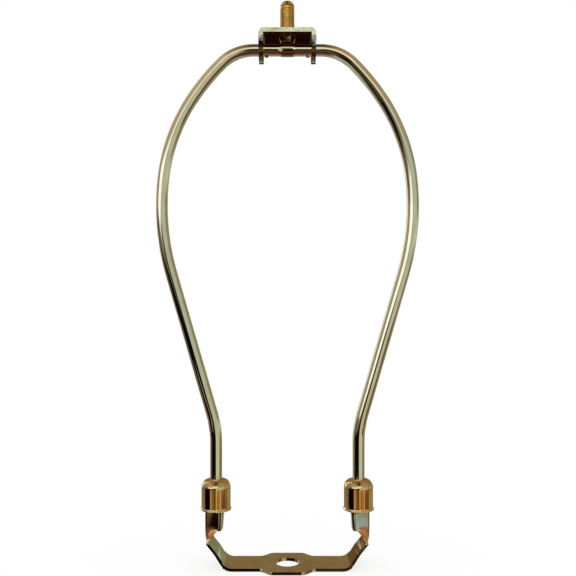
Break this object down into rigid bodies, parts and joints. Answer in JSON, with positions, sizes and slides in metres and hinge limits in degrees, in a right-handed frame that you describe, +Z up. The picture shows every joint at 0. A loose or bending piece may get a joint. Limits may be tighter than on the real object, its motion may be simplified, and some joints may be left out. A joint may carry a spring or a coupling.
{
  "type": "lamp harp",
  "caption": "Detachable table lamp harp: bent wire bow with a swivelling top bracket and threaded finial stud, sliding ferrules and a folded base strip with a pipe hole.",
  "frame": {"origin": "centre of the pipe hole on the underside of the base strip", "axes": "+Z up along the pipe hole's axis towards the finial stud, +X from one leg to the other, +Y through the thin way of the harp"},
  "size_m": [0.1144, 0.0234, 0.2451],
  "materials": {
    "bow_plate": "polished brass plate on steel wire",
    "bracket_plate": "polished brass plate on steel sheet",
    "base_plate": "polished brass plate on folded steel strip",
    "ferrule_brass": "bright drawn brass",
    "stud_brass": "turned and rolled brass"
  },
  "bodies": {
    "base": {"base_saddle": "base_plate"},
    "bow": {"harp_bow": "bow_plate"},
    "left_ferrule": {"ferrule_left": "ferrule_brass"},
    "right_ferrule": {"ferrule_right": "ferrule_brass"},
    "bracket": {"top_bracket": "bracket_plate", "finial_stud": "stud_brass"}
  },
  "joints": [
    {"name": "harp_lift", "type": "slide", "parent": "base", "child": "bow", "axis": [0, 0, 1], "range_m": [0, 0.025]},
    {"name": "ferrule_left_slide", "type": "slide", "parent": "bow", "child": "left_ferrule", "axis": [0, 0, 1], "range_m": [0, 0.014]},
    {"name": "ferrule_right_slide", "type": "slide", "parent": "bow", "child": "right_ferrule", "axis": [0, 0, 1], "range_m": [0, 0.014]},
    {"name": "bracket_tilt", "type": "hinge", "parent": "bow", "child": "bracket", "pos_m": [0, 0, 0.2237], "axis": [1, 0, 0], "continuous": true}
  ]
}
